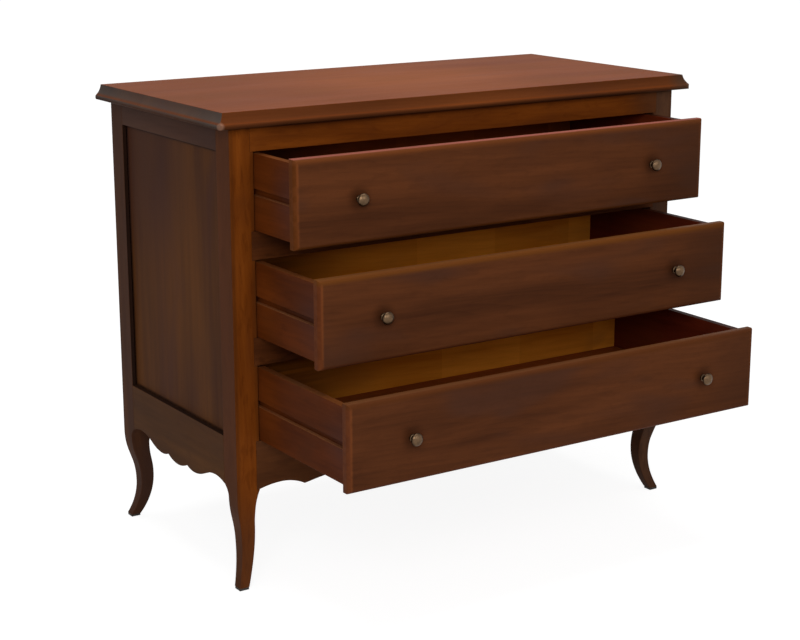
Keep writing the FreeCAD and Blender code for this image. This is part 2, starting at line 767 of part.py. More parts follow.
def build_back():
    """Two rails, a muntin and two panels."""
    groove = back_panel_block("back_groove_left", "0")
    grooves = [groove, mirrored("back_groove_right", groove, Vector(1, 0, 0))]
    muntin_tenon = box("muntin_tenon",
                       ("muntin_width - 2 * tenon_shoulder", "tenon_thick",
                        "top_rail_z - back_rail_top + 2 * side_tenon_length"),
                       ("tenon_shoulder - muntin_width / 2", "back_tenon_y",
                        "back_rail_top - side_tenon_length"))
    for name, z_range in BACK_RAILS:
        low, height = z_range
        bar = box(f"{name}_bar", ("2 * post_x", "back_rail_thick", height),
                  ("-post_x", "back_y - back_rail_thick", low))
        rail = fuse(f"{name}_solid",
                    [bar, tenon_pair(f"{name}_tenons", "post_x", "back_tenon_y", z_range, "0")])
        tools = grooves + [muntin_tenon]
        if name == "rail_back_top":
            tools.append(button_slots(name))
        piece(name, cut(f"{name}_cut", rail, tools))
    post = box("muntin_bar", ("muntin_width", "back_rail_thick", "top_rail_z - back_rail_top"),
               ("-muntin_width / 2", "back_y - back_rail_thick", "back_rail_top"))
    piece("muntin_back", cut("muntin_cut", fuse("muntin_solid", [post, muntin_tenon]), grooves))
    both_sides("panel_back", back_panel_block("back_panel_board", "panel_play"))


def build_runners():
    holes = modelled("runner_holes", screws(runner_screw_places(), Vector(-1, 0, 0), size("hole_clearance")))
    for drawer in DRAWERS:
        strip = runner_block(f"runner_{drawer}_strip", drawer)
        both_sides(f"runner_{drawer}", cut(f"runner_{drawer}_drilled", strip, [holes]))
    left = modelled("runner_screws_left", screws(runner_screw_places(), Vector(-1, 0, 0)))
    right = mirrored("runner_screws_right", left, Vector(1, 0, 0))
    piece("runner_screws", group("runner_screw_set", [left, right]))


def build_buttons():
    piece("top_buttons", modelled("top_button_set", button_set(lambda: button_shape(0.0))))
    piece("top_button_screws", modelled("top_button_screw_set", button_set(lambda: button_screw(0.0))))


def build_glides():
    """A square sole under each foot."""
    side = "foot_width - 2 * glide_inset"
    soles = []
    for x in ("glide_inset - case_width / 2", "case_width / 2 - foot_width + glide_inset"):
        for y in ("front_y + glide_inset", "back_y - foot_width + glide_inset"):
            soles.append(box("glide", (side, side, "glide_height"), (x, y, "0")))
    piece("foot_glides", group("glide_set", soles))


# ---- drawers ---------------------------------------------------------------

def origin_plane(body, role):
    return next(item for item in body.Origin.OriginFeatures if item.Role == role)


def rectangle(body, role, name, sides):
    """A rectangle on an origin plane; sides is left, right, low, high as expressions."""
    left, right, low, high = sides
    corners = [(left, low), (right, low), (right, high), (left, high)]
    rough = [(-1, -1), (1, -1), (1, 1), (-1, 1)]
    sketch = body.newObject("Sketcher::SketchObject", name)
    sketch.AttachmentSupport = [(origin_plane(body, role), "")]
    sketch.MapMode = "FlatFace"
    for start, end in zip(rough, rough[1:] + rough[:1]):
        sketch.addGeometry(Part.LineSegment(Vector(*start, 0), Vector(*end, 0)))
    for index in range(4):
        sketch.addConstraint(Sketcher.Constraint("Coincident", index, 2, (index + 1) % 4, 1))
    for index, (across, up) in enumerate(corners):
        for kind, text, rough_value in (("DistanceX", across, rough[index][0]),
                                        ("DistanceY", up, rough[index][1])):
            number = sketch.addConstraint(Sketcher.Constraint(kind, -1, 1, index, 1, rough_value))
            bind(sketch, f"Constraints[{number}]", text)
    return sketch


def drawer_front_body(drawer):
    """The lipped front: its back face is the body's XZ plane, its outer edges are rounded."""
    body = DOC.addObject("PartDesign::Body", f"{drawer}_front_body")
    sketch = rectangle(body, "XZ_Plane", f"{drawer}_front_outline",
                       ("-post_x - lip_side", "post_x + lip_side", "-lip_bottom", "opening_height + lip_top"))
    pad = body.newObject("PartDesign::Pad", f"{drawer}_front_board")
    pad.Profile = sketch
    bind(pad, "Length", "front_thick")
    DOC.recompute()
    face_y = -size("front_thick")
    rim = []
    for number, edge in enumerate(pad.Shape.Edges, start=1):
        if all(abs(vertex.Y - face_y) < 1e-6 for vertex in edge.Vertexes):
            rim.append(f"Edge{number}")
    rounding = body.newObject("PartDesign::Fillet", f"{drawer}_front_rounding")
    rounding.Base = (pad, rim)
    bind(rounding, "Radius", "front_round")
    place_at(body, ("0", f"front_y - {drawer}_drawer_open", f"{drawer}_drawer_z"))
    return body


def knob_shape():
    """A turned knob along -Y with its foot on y = 0, hollow for its screw."""
    head = size("knob_radius")
    height = size("knob_height")
    base = size("knob_base_radius")
    base_out = size("knob_base_thick")
    neck = size("knob_neck_radius")
    neck_out = size("knob_neck_out")
    brim_out = size("knob_brim_out")
    flare = (neck_out + brim_out) / 2
    dome = (brim_out + height) / 2

    def at(radius, out):
        return Vector(radius, -out, 0)

    edges = [
        line(at(0, 0), at(base, 0)),
        line(at(base, 0), at(base, base_out)),
        bezier([at(base, base_out), at(neck, base_out), at(neck, neck_out)]),
        bezier([at(neck, neck_out), at(neck, flare), at(head, flare), at(head, brim_out)]),
        bezier([at(head, brim_out), at(head, dome), at(head / 2, height), at(0, height)]),
        line(at(0, height), at(0, 0)),
    ]
    turned = Part.Face(Part.Wire(edges)).revolve(Vector(), Vector(0, 1, 0), 360)
    play = size("hole_clearance")
    bore = Part.makeCylinder(size("knob_screw_radius") + play, size("knob_screw_bite") + size("mortise_play"),
                             Vector(), Vector(0, -1, 0))
    return turned.cut(bore)


def knob_screw_shape(play):
    """A pan-headed screw from the inside of a drawer front into its knob, along -Y."""
    thick = size("front_thick")
    shank = Part.makeCylinder(size("knob_screw_radius") + play, thick + size("knob_screw_bite"),
                              Vector(), Vector(0, -1, 0))
    if play:
        return shank
    head = Part.makeCylinder(size("knob_screw_head"), size("knob_screw_head_thick"),
                             Vector(), Vector(0, 1, 0))
    return shank.fuse(head).removeSplitter()


def knob_places(drawer, out):
    """Both knob centres of a drawer, that far out from the back of its front."""
    height = size(f"{drawer}_drawer_z") + (size("opening_height") + size("lip_top") - size("lip_bottom")) / 2
    depth = size("front_y") - size(f"{drawer}_drawer_open") - out
    half = size("post_x") + size("lip_side") - size("knob_inset")
    return [Vector(-half, depth, height), Vector(half, depth, height)]


def at_knobs(shape, drawer):
    """The shape at both knob centres, from the back of the drawer's front."""
    return Part.Compound([shape.translated(spot) for spot in knob_places(drawer, 0)])


def build_drawer(drawer):
    name = f"drawer_{drawer}"
    back_face = f"(front_y - {drawer}_drawer_open)"
    low = f"({drawer}_drawer_z + drawer_gap_bottom)"
    bottom_z = f"({low} + drawer_bottom_rise)"

    side_block = box(f"{name}_side_block",
                     ("drawer_side_thick", "drawer_side_length + drawer_groove", "drawer_side_height"),
                     ("-drawer_side_x", f"{back_face} - drawer_groove", low))
    bottom = box(f"{name}_bottom_board",
                 ("2 * (drawer_inner_x + drawer_groove)",
                  "drawer_back_depth + drawer_back_thick + drawer_groove", "drawer_bottom_thick"),
                 ("-drawer_inner_x - drawer_groove", f"{back_face} - drawer_groove", bottom_z))
    back = box(f"{name}_back_board",
               ("2 * (drawer_inner_x + drawer_groove)", "drawer_back_thick",
                "drawer_side_height - drawer_bottom_rise - drawer_bottom_thick - drawer_back_drop"),
               ("-drawer_inner_x - drawer_groove", f"{back_face} + drawer_back_depth",
                f"{bottom_z} + drawer_bottom_thick"))
    runner_groove = box(f"{name}_runner_groove",
                        ("side_groove_depth", "drawer_side_length", "side_groove_height"),
                        ("-drawer_side_x", back_face, f"{drawer}_drawer_z + side_groove_rise"))
    side = cut(f"{name}_side_cut", side_block, [runner_groove, bottom, back])
    side_twin = mirrored(f"{name}_side_mirror", side, Vector(1, 0, 0))

    holes = modelled(f"{name}_knob_holes", at_knobs(knob_screw_shape(size("hole_clearance")), drawer))
    housings = box(f"{name}_side_housing",
                   ("drawer_side_thick", "drawer_groove", "drawer_side_height"),
                   ("-drawer_side_x", f"{back_face} - drawer_groove", low))
    housings_twin = mirrored(f"{name}_side_housing_right", housings, Vector(1, 0, 0))
    front = cut(f"{name}_front_cut", drawer_front_body(drawer), [housings, housings_twin, bottom, holes])

    piece(f"{name}_front", front)
    piece(f"{name}_side_left", side)
    piece(f"{name}_side_right", side_twin)
    piece(f"{name}_back", back)
    piece(f"{name}_bottom", bottom)
    for side, spot in zip(("left", "right"), knob_places(drawer, size("front_thick"))):
        piece(f"{name}_knob_{side}", modelled(f"{name}_knob_{side}_turned", knob_shape(), spot))
    piece(f"{name}_knob_screws", modelled(f"{name}_screws", at_knobs(knob_screw_shape(0.0), drawer)))


# ---- build, test and write -------------------------------------------------

def check_document():
    for thing in DOC.Objects:
        if "Invalid" in thing.State or "Error" in thing.State:
            raise RuntimeError(f"{thing.Name} ({thing.Label}) is {thing.State}")
    for thing in PIECES:
        shape = thing.Shape
        if shape.isNull() or not shape.isValid() or not shape.Solids:
            raise RuntimeError(f"{thing.Label} has no valid shape")


def main():
    build_case()
    for drawer in DRAWERS:
        build_drawer(drawer)
    DOC.recompute()
    check_document()
    os.makedirs("parts", exist_ok=True)
    for thing in PIECES:
        thing.Shape.exportStep(f"parts/{thing.Label}.step")
    print(f"{len(PIECES)} pieces written")


main()
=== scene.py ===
"""Finishes, soft edges, floor, lamps and camera for the three-drawer commode.

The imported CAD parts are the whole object. Each one gets its wood, metal or plastic here, and the
boards get slightly rounded edges. Lengths are in metres.
"""

import math

import bpy
from mathutils import Matrix, Vector


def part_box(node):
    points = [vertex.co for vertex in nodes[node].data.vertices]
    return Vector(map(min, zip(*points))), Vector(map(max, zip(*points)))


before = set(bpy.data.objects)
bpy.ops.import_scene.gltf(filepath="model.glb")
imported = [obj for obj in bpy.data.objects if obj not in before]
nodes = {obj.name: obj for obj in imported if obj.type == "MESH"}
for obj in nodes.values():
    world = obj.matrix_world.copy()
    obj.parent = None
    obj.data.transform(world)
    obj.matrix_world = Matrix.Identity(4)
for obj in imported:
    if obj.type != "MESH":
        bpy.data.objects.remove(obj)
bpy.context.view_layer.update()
scene = bpy.context.scene


# ---------------------------------------------------------------- small helpers

def colour(red, green, blue):
    """A colour written as it looks on a screen, 0 to 255, as the numbers that a shader takes."""
    parts = []
    for value in (red, green, blue):
        share = value / 255
        parts.append(share / 12.92 if share <= 0.04045 else ((share + 0.055) / 1.055) ** 2.4)
    return (*parts, 1.0)


class Tree:
    """The shader nodes of one material or world, with short calls that add linked nodes."""

    def __init__(self, owner):
        owner.use_nodes = True
        self.tree = owner.node_tree
        self.tree.nodes.clear()

    def add(self, kind, inputs, **settings):
        made = self.tree.nodes.new("ShaderNode" + kind)
        for name, value in settings.items():
            setattr(made, name, value)
        for key, value in inputs.items():
            if isinstance(value, bpy.types.NodeSocket):
                self.tree.links.new(value, made.inputs[key])
            else:
                made.inputs[key].default_value = value
        return made

    def math(self, operation, *values, clamp=False):
        made = self.add("Math", dict(enumerate(values)), operation=operation, use_clamp=clamp)
        return made.outputs[0]

    def vector(self, x, y, z):
        return self.add("CombineXYZ", {"X": x, "Y": y, "Z": z}).outputs[0]

    def dot(self, first, second):
        return self.add("VectorMath", {0: first, 1: second}, operation="DOT_PRODUCT").outputs["Value"]

    def place(self):
        """Where a point of the piece is in the frame at rest."""
        return self.add("TexCoord", {}).outputs["Object"]

    def scaled_place(self, factor):
        """That place times a factor, for a texture with about that many features in a metre."""
        return self.add("VectorMath", {0: self.place(), 1: (factor,) * 3}, operation="MULTIPLY").outputs[0]

    def normal(self):
        return self.add("NewGeometry", {}).outputs["Normal"]

    def fade(self, value, start, end, first=0.0, last=1.0):
        """first where value is start or less, last where it is end or more, and smooth between them."""
        inputs = {"Value": value, "From Min": start, "From Max": end, "To Min": first, "To Max": last}
        return self.add("MapRange", inputs, interpolation_type="SMOOTHSTEP").outputs[0]

    def mix(self, share, first, second):
        made = self.add("Mix", {0: share, 6: first, 7: second}, data_type="RGBA")
        return made.outputs[2]

    def noise(self, place, detail=3.0, roughness=0.5, warp=0.0):
        inputs = {"Vector": place, "Scale": 1.0, "Detail": detail, "Roughness": roughness, "Distortion": warp}
        return self.add("TexNoise", inputs).outputs[0]

    def edge_rub(self, radius, start, end):
        """1 on sharp outer edges, where the rounded normal leaves the true one, and 0 elsewhere."""
        rounded = self.add("Bevel", {"Radius": radius}, samples=4).outputs[0]
        return self.fade(self.dot(rounded, self.normal()), start, end, 1.0, 0.0)

    def surface(self, **inputs):
        shader = self.add("BsdfPrincipled", {key.replace("_", " "): value for key, value in inputs.items()})
        self.add("OutputMaterial", {"Surface": shader.outputs[0]})


# ---------------------------------------------------------------- wood

# Which of x, y and z runs along the grain, and which two run across it.
GRAIN = {"x": ("X", "Y", "Z"), "y": ("Y", "X", "Z"), "z": ("Z", "X", "Y")}

RING_STEP = 0.0065      # width of one growth ring
PITH_DISTANCE = 0.11    # how far the board was cut from the middle of the trunk
PITH_SLOPE = 0.07       # how much the trunk's axis leans from the board's


def stain_shades(pale, dark, smoke, worn=(150, 92, 50)):
    """The ends of a stain's range, the colour of its cloudy patches, and that of its rubbed edges."""
    return {"pale": colour(*pale), "dark": colour(*dark), "smoke": colour(*smoke), "worn": colour(*worn)}


def border_distance(tree, lowest, highest, axes):
    """How far a point is inside the box's edges, measured along the named axes only."""
    parts = tree.add("SeparateXYZ", {0: tree.place()}).outputs
    nearest = None
    for axis in axes:
        index = "xyz".index(axis)
        for side in (tree.math("SUBTRACT", parts[index], lowest[index]),
                     tree.math("SUBTRACT", highest[index], parts[index])):
            nearest = side if nearest is None else tree.math("MINIMUM", nearest, side)
    return nearest


def wood(name, grain, shades, facings=(), edgings=(), spots=(), sheen=0.02, rough=0.45, contrast=1.0,
         breadth=1.0, figure=1.0, mottle=0.0, wear=1.0, stave=0.0):
    """Stained and lacquered wood.

    facings are (direction, shades): faces that look that way take those shades, above a height where one
    follows. edgings are (lowest corner, highest corner, axes, width, strength, colour): the rim of a box,
    and all that lies beyond it along those axes, in another colour. spots are (place, inner radius, outer
    radius, strength, colour): round patches. breadth widens the clouds, contrast strengthens the figure,
    mottle adds small dark patches and wear rubs the sharp edges. stave is the length of the boards glued
    end to end, where they show."""
    material = bpy.data.materials.new(name)
    tree = Tree(material)

    # Position along the grain, across it and through the board. Each board is shifted by its own amount,
    # so that no two show the same figure.
    axes = tree.add("SeparateXYZ", {0: tree.place()}).outputs
    board = tree.add("ObjectInfo", {}).outputs["Random"]
    along, across, through = [tree.math("MULTIPLY_ADD", board, shift, axes[axis])
                              for axis, shift in zip(GRAIN[grain], (7.3, 3.1, 1.7))]

    def stretched(length, width):
        """A texture position whose features are about that long along the grain, and that wide across it."""
        return tree.vector(tree.math("DIVIDE", along, length), tree.math("DIVIDE", across, width),
                           tree.math("DIVIDE", through, width))

    cloud = tree.noise(stretched(0.36 * breadth, 0.055 * breadth), 2.0, 0.5, 0.3)
    blotch = tree.noise(stretched(0.22 * breadth, 0.075 * breadth), 2.0, 0.5, 0.5)
    streak = tree.noise(stretched(0.30, 0.012), 3.0, 0.55, 0.1)
    fibre = tree.noise(stretched(0.045, 0.0011), 2.0, 0.65)
    pore = tree.noise(stretched(0.012, 0.00045), 1.0, 0.5)

    # Growth rings round a trunk axis that leans from the board, which gives arched figure on wide faces.
    lean = tree.math("MULTIPLY", along, PITH_SLOPE)
    sideways = tree.math("ADD", across, tree.math("MULTIPLY_ADD", cloud, 0.045, lean))
    deep = tree.math("ADD", through, PITH_DISTANCE)
    reach = tree.math("SQRT", tree.math("ADD", tree.math("MULTIPLY", sideways, sideways),
                                        tree.math("MULTIPLY", deep, deep)))
    ring = tree.math("POWER", tree.math("FRACT", tree.math("DIVIDE", reach, RING_STEP)), 2.5)

    tone = tree.math("MULTIPLY_ADD", tree.fade(cloud, 0.30, 0.70), 0.55, -0.42)
    tone = tree.math("MULTIPLY_ADD", tree.fade(streak, 0.30, 0.72), 0.26, tone)
    tone = tree.math("MULTIPLY_ADD", fibre, 0.22, tone)
    tone = tree.math("MULTIPLY_ADD", ring, -0.12 * figure, tone)
    tone = tree.math("MULTIPLY_ADD", tone, contrast, 0.5)
    if stave:
        number = tree.math("FLOOR", tree.math("DIVIDE", axes[GRAIN[grain][0]], stave))
        stave_tone = tree.add("TexWhiteNoise", {"W": number}, noise_dimensions="1D").outputs[0]
        tone = tree.math("MULTIPLY_ADD", tree.math("SUBTRACT", stave_tone, 0.5), 0.5, tone)
    tone = tree.math("ADD", tone, 0.0, clamp=True)
    cloudy = tree.fade(blotch, 0.48, 0.72, 0.0, 0.7)
    pores = tree.fade(pore, 0.60, 0.74, 0.0, 0.3)
    if mottle:
        patch = tree.noise(stretched(0.045, 0.011), 3.0, 0.6, 0.4)
        pores = tree.math("MAXIMUM", pores, tree.fade(patch, 0.50, 0.66, 0.0, mottle))

    def stained(shades):
        stain = tree.mix(tone, shades["dark"], shades["pale"])
        stain = tree.mix(cloudy, stain, shades["smoke"])
        return tree.mix(pores, stain, shades["dark"])

    stain = stained(shades)
    # Facings, edgings and spots carry painted light as well as stain: lit and shaded copies of a stain,
    # painted shade and painted highlights.
    for direction, other, *start in facings:
        turned = tree.fade(tree.dot(tree.normal(), direction), 0.62, 0.82)
        if start:
            turned = tree.math("MULTIPLY", turned, tree.fade(axes["Z"], start[0] - 0.03, start[0]))
        stain = tree.mix(turned, stain, stained(other))
    for lowest, highest, across_axes, width, strength, edge_colour in edgings:
        distance = border_distance(tree, lowest, highest, across_axes)
        edge = tree.math("MULTIPLY", tree.fade(distance, width * 0.35, width, strength, 0.0),
                         tree.fade(streak, 0.25, 0.60, 0.55, 1.0))
        stain = tree.mix(edge, stain, colour(*edge_colour))
    for centre, inner, outer, strength, spot_colour in spots:
        away = tree.add("VectorMath", {0: tree.place(), 1: centre}, operation="DISTANCE").outputs["Value"]
        patchy = tree.math("MULTIPLY", tree.fade(away, inner, outer, strength, 0.0),
                           tree.fade(streak, 0.25, 0.60, 0.7, 1.0))
        stain = tree.mix(patchy, stain, colour(*spot_colour))

    rub = tree.math("MULTIPLY", tree.edge_rub(0.0020, 0.72, 0.96),
                    tree.fade(streak, 0.35, 0.65, 0.10 * wear, 0.60 * wear))
    stain = tree.mix(rub, stain, shades["worn"])

    gloss = tree.math("MULTIPLY_ADD", fibre, 0.16, rough - 0.10)
    gloss = tree.math("MULTIPLY_ADD", blotch, 0.10, gloss)
    height = tree.math("MULTIPLY_ADD", pore, 0.5, fibre)
    height = tree.math("MULTIPLY_ADD", ring, 0.25, height)
    bump = tree.add("Bump", {"Strength": 0.35, "Distance": 0.00012, "Height": height}).outputs[0]
    tree.surface(Base_Color=stain, Roughness=gloss, Normal=bump, Specular_IOR_Level=sheen)
    return material


# ---------------------------------------------------------------- metal and plastic

METAL_GRIT = 2500.0     # specks in a metre
PLASTIC_GRIT = 900.0


def aged_metal(name, bright, dull, rough, grain_size, direction=None):
    """Turned metal, rubbed bright on its edges and dull in its low places.

    direction is the way that the most handled faces look: they are bright, partly from handling and partly as
    a painted highlight, and those beside them dull, a painted shade."""
    material = bpy.data.materials.new(name)
    tree = Tree(material)
    patina = tree.noise(tree.scaled_place(1 / grain_size), 3.0, 0.5, 0.2)
    grit = tree.noise(tree.scaled_place(METAL_GRIT), 2.0, 0.6)
    share = tree.fade(patina, 0.32, 0.68, 0.30, 0.75)
    if direction:
        handling_and_highlight = tree.fade(tree.dot(tree.normal(), direction), 0.25, 0.95, -0.35, 0.35)
        share = tree.math("ADD", share, handling_and_highlight)
    share = tree.math("MULTIPLY_ADD", tree.edge_rub(0.0012, 0.85, 0.99), 0.35, share, clamp=True)
    tint = tree.mix(share, colour(*dull), colour(*bright))
    tint = tree.mix(tree.fade(grit, 0.60, 0.72, 0.0, 0.25), tint, colour(*dull))
    gloss = tree.math("MULTIPLY_ADD", patina, -0.15, rough + 0.10)
    bump = tree.add("Bump", {"Strength": 0.15, "Distance": 0.00008, "Height": grit}).outputs[0]
    tree.surface(Base_Color=tint, Roughness=gloss, Normal=bump, Metallic=1.0)
    return material


def glide_plastic(name, dark, light, rim_height):
    """Moulded plastic, scuffed pale on its upper rim."""
    material = bpy.data.materials.new(name)
    tree = Tree(material)
    grit = tree.noise(tree.scaled_place(PLASTIC_GRIT), 3.0, 0.6)
    height = tree.add("SeparateXYZ", {0: tree.place()}).outputs["Z"]
    scuff = tree.math("MULTIPLY", tree.fade(height, rim_height - 0.0015, rim_height - 0.0004),
                      tree.fade(grit, 0.40, 0.60, 0.3, 1.0))
    worn = colour(*light)
    tint = tree.mix(tree.math("MULTIPLY", grit, 0.35), colour(*dark), worn)
    tint = tree.mix(scuff, tint, worn)
    gloss = tree.math("MULTIPLY_ADD", grit, 0.25, 0.45)
    bump = tree.add("Bump", {"Strength": 0.3, "Distance": 0.0001, "Height": grit}).outputs[0]
    tree.surface(Base_Color=tint, Roughness=gloss, Normal=bump, Specular_IOR_Level=0.2)
    return material


# ---------------------------------------------------------------- shades

FRONTWARDS = (0.0, -1.0, 0.0)
BACKWARDS = (0.0, 1.0, 0.0)
UPWARDS = (0.0, 0.0, 1.0)
DOWNWARDS = (0.0, 0.0, -1.0)
LEFTWARDS = (-1.0, 0.0, 0.0)
RIGHTWARDS = (1.0, 0.0, 0.0)

# The top's upper face and its moulding take different shades by how light falls on them, painted light; the
# ends take greyer shades, a painted reflection.
FLAT_TOP = stain_shades((118, 58, 19), (95, 42, 11), (104, 54, 20), (123, 75, 45))
MOULDING = stain_shades((106, 56, 28), (78, 40, 17), (84, 45, 27), (97, 59, 40))
GREY_SHEEN_END = stain_shades((86, 74, 66), (64, 56, 54), (75, 66, 64), (92, 74, 68))
# The post sides take darker, greyer shades than their fronts: painted shade for faces turned from the lamps.
# The right post's grey shades are partly painted shade as well.
FRAME = stain_shades((132, 68, 18), (88, 40, 8), (94, 46, 16), (140, 78, 32))
FRAME_SIDE_SHADED = stain_shades((100, 54, 26), (74, 38, 18), (82, 48, 28), (112, 66, 36))
GREY_SHADED_FRAME = stain_shades((94, 62, 42), (62, 40, 30), (68, 48, 38), (110, 76, 52))
GREY_SHADED_FRAME_SIDE = stain_shades((80, 52, 36), (56, 36, 26), (62, 44, 36), (98, 66, 46))
# Darker than the top rail's shades: painted shade that the drawers above cast on the low rails.
SHADED_LOW_RAIL = stain_shades((98, 52, 24), (58, 28, 12), (70, 38, 22), (112, 64, 32))
OLD_SIDE = stain_shades((82, 50, 32), (62, 38, 28), (68, 46, 38), (96, 62, 40))
RAIL_SIDE = stain_shades((84, 56, 44), (62, 40, 32), (70, 50, 44), (98, 68, 50))
SIDE = stain_shades((94, 56, 26), (62, 35, 22), (70, 43, 36), (106, 66, 36))
APRON_SIDE = stain_shades((90, 56, 28), (66, 40, 22), (72, 46, 32), (104, 66, 36))
APRON = stain_shades((96, 56, 30), (68, 38, 20), (78, 48, 30))
FRONT = stain_shades((96, 53, 28), (62, 33, 18), (72, 44, 32))
BOX = stain_shades((95, 43, 12), (61, 24, 4), (71, 34, 14), (120, 66, 32))
# Upper edges of the drawer sides: a painted highlight on the left sides and painted shade on the right.
LIT_BOX_EDGE = stain_shades((108, 60, 28), (76, 40, 18), (88, 56, 34), (126, 80, 48))
SHADED_BOX_EDGE = stain_shades((60, 28, 18), (42, 18, 12), (48, 24, 18), (76, 44, 30))
# The groove's lower lip: paler unstained wood, lightened further as painted light.
GROOVE_LIP_RAW_AND_LIT = stain_shades((150, 96, 60), (112, 66, 36), (124, 80, 52), (160, 110, 76))
BOX_INSIDE = stain_shades((108, 40, 20), (74, 24, 10), (82, 34, 20), (126, 62, 34))
HONEY = stain_shades((228, 142, 46), (182, 102, 20), (184, 112, 42), (214, 150, 80))
SHADED_HONEY = stain_shades((150, 78, 30), (110, 50, 14), (116, 64, 28), (160, 98, 50))
BOX_FLOOR = stain_shades((168, 92, 38), (132, 64, 20), (140, 76, 34), (170, 112, 64))
PLAIN = stain_shades((128, 88, 54), (96, 62, 36), (88, 62, 42), (150, 108, 70))
DARK_INSIDE = stain_shades((92, 44, 20), (62, 26, 10), (56, 30, 18), (110, 60, 30))
# Painted shade for recess walls, ledges and undersides, which face away from the lamps.
PAINTED_SHADE = stain_shades((46, 28, 20), (32, 19, 13), (36, 24, 20), (60, 40, 28))

UNDER_TOP_SHADOW = (36, 18, 8)      # painted shadow: the dark line under the top's overhang
FAR = 9.0               # beyond every piece: an edging that reaches so far has no rim on that side
inside_only = [(FRONTWARDS, DARK_INSIDE)]
top_low, top_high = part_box("top_board")
front_left_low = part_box("post_front_left")[0]


def below(height, width, strength, tint):
    """An edging just below a height, for a piece that ends there: it would also tint all that is above."""
    return ((-FAR,) * 3, (FAR, FAR, height), "z", width, strength, tint)


# A painted shadow in a dark band just under the top, on the pieces that meet it.
shadow_under_top = [below(top_low.z, 0.007, 0.8, UNDER_TOP_SHADOW)]


def top_wood():
    """The top board: flat face and moulding in shades set apart by how light falls on them, greyer ends as a
    painted reflection, two front corners with wear and a painted highlight, a painted highlight over the
    middle with a duller left end, and painted shade at the right end and along the moulding's lower edge.
    """
    corner_inset = 0.0026   # from the box's corner to the middle of the rounded one, in x and in y
    corner_patch_height = 0.006     # of the middle of the corner patch, wear and painted highlight, above the underside
    middle_y = (top_low.y + top_high.y) / 2
    # Each front corner: wear and a painted highlight.
    spots = [((x, top_low.y + corner_inset, top_low.z + corner_patch_height), 0.004, 0.010, 0.6, (150, 112, 92))
             for x in (top_low.x + corner_inset, top_high.x - corner_inset)]
    # Painted shade at the right end, and a painted highlight over the middle with a duller left end.
    spots += [
        ((top_high.x, top_low.y, top_low.z + 0.014), 0.02, 0.06, 0.75, (66, 50, 38)),
        ((top_low.x, middle_y, top_high.z), 0.05, 0.30, 0.30, (96, 50, 20)),
        ((0.0, middle_y, top_high.z), 0.08, 0.34, 0.25, (156, 84, 30)),
    ]
    # Painted shade along the moulding's lower edge.
    foot_shade = ((-FAR, -FAR, top_low.z), (FAR,) * 3, "z", 0.007, 0.75, (44, 24, 14))
    return wood("top_wood", "x", MOULDING,
                [(LEFTWARDS, GREY_SHEEN_END), (RIGHTWARDS, GREY_SHEEN_END), (UPWARDS, FLAT_TOP)],
                [foot_shade], spots, sheen=0.009, rough=0.42, contrast=0.75, breadth=1.5, wear=0.5)


def front_post_wood(side, front, shaded_flank, spots=()):
    """A front post: mottled, with painted shade along the two side edges of its front and a painted shadow
    under the top.
    """
    lowest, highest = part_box(f"post_front_{side}")
    # Painted shade along both side edges of the post's front.
    corners = ((lowest.x, -FAR, -FAR), (highest.x, FAR, FAR), "x", 0.010, 0.45, (70, 36, 14))
    return wood(f"front_post_wood_{side}", "z", shaded_flank, [(FRONTWARDS, front), (BACKWARDS, PAINTED_SHADE)],
                [corners, *shadow_under_top], spots, mottle=0.45)


END_DROP = 0.022        # from the top rail's upper edge down to the middle of the painted shade at its right end
top_rail_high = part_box("rail_front_top")[1]
rail_end = (top_rail_high.x, front_left_low.y, top_rail_high.z - END_DROP)
# Painted shade towards the top rail's right end.
rail_end_shade = [(rail_end, 0.03, 0.12, 0.7, (76, 46, 28))]
# A darker, greyer patch round the left front foot.
foot_darkening = [((front_left_low.x + 0.02, front_left_low.y, 0.0), 0.03, 0.22, 0.6, (72, 46, 32))]

materials = {
    "top": top_wood(),
    "left_post": front_post_wood("left", FRAME, FRAME_SIDE_SHADED, foot_darkening),
    "right_post": front_post_wood("right", GREY_SHADED_FRAME, GREY_SHADED_FRAME_SIDE),
    # The back posts' front faces above the knee, the walls of the side panel's recess, take painted shade.
    "back_post": wood("back_post_wood", "z", OLD_SIDE, [(FRONTWARDS, PAINTED_SHADE, 0.28)], shadow_under_top, sheen=0.015,
                      mottle=0.3),
    "top_rail": wood("top_rail_wood", "x", FRAME, (), shadow_under_top, rail_end_shade, mottle=0.35),
    "front_rail": wood("front_rail_wood", "x", SHADED_LOW_RAIL, mottle=0.5),
    "apron": wood("front_apron_wood", "x", APRON, mottle=0.4),
    # The side rail's underside and the side apron's upper ledge take painted shade.
    "side_rail": wood("side_rail_wood", "y", RAIL_SIDE, [(DOWNWARDS, PAINTED_SHADE)], shadow_under_top, sheen=0.015),
    "side_apron": wood("side_apron_wood", "y", APRON_SIDE, [(UPWARDS, PAINTED_SHADE)], sheen=0.015, mottle=0.3),
    "back_rail": wood("back_rail_wood", "x", PLAIN, inside_only, rough=0.6),
    "muntin": wood("muntin_wood", "z", PLAIN, inside_only, rough=0.6),
    "hidden": wood("runner_wood", "y", DARK_INSIDE, rough=0.65),
    "drawer_bottom": wood("drawer_bottom_wood", "x", BOX_FLOOR, rough=0.55),
    # Knobs bright on their fronts and dark round their rims: wear with a painted highlight and painted shade.
    "knob": aged_metal("knob_metal", (99, 78, 58), (38, 28, 20), 0.30, 0.006, FRONTWARDS),
    "steel": aged_metal("screw_steel", (176, 174, 168), (96, 92, 88), 0.34, 0.003),
    "glide": glide_plastic("glide_plastic", (22, 20, 19), (120, 112, 104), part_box("foot_glides")[1].z),
}

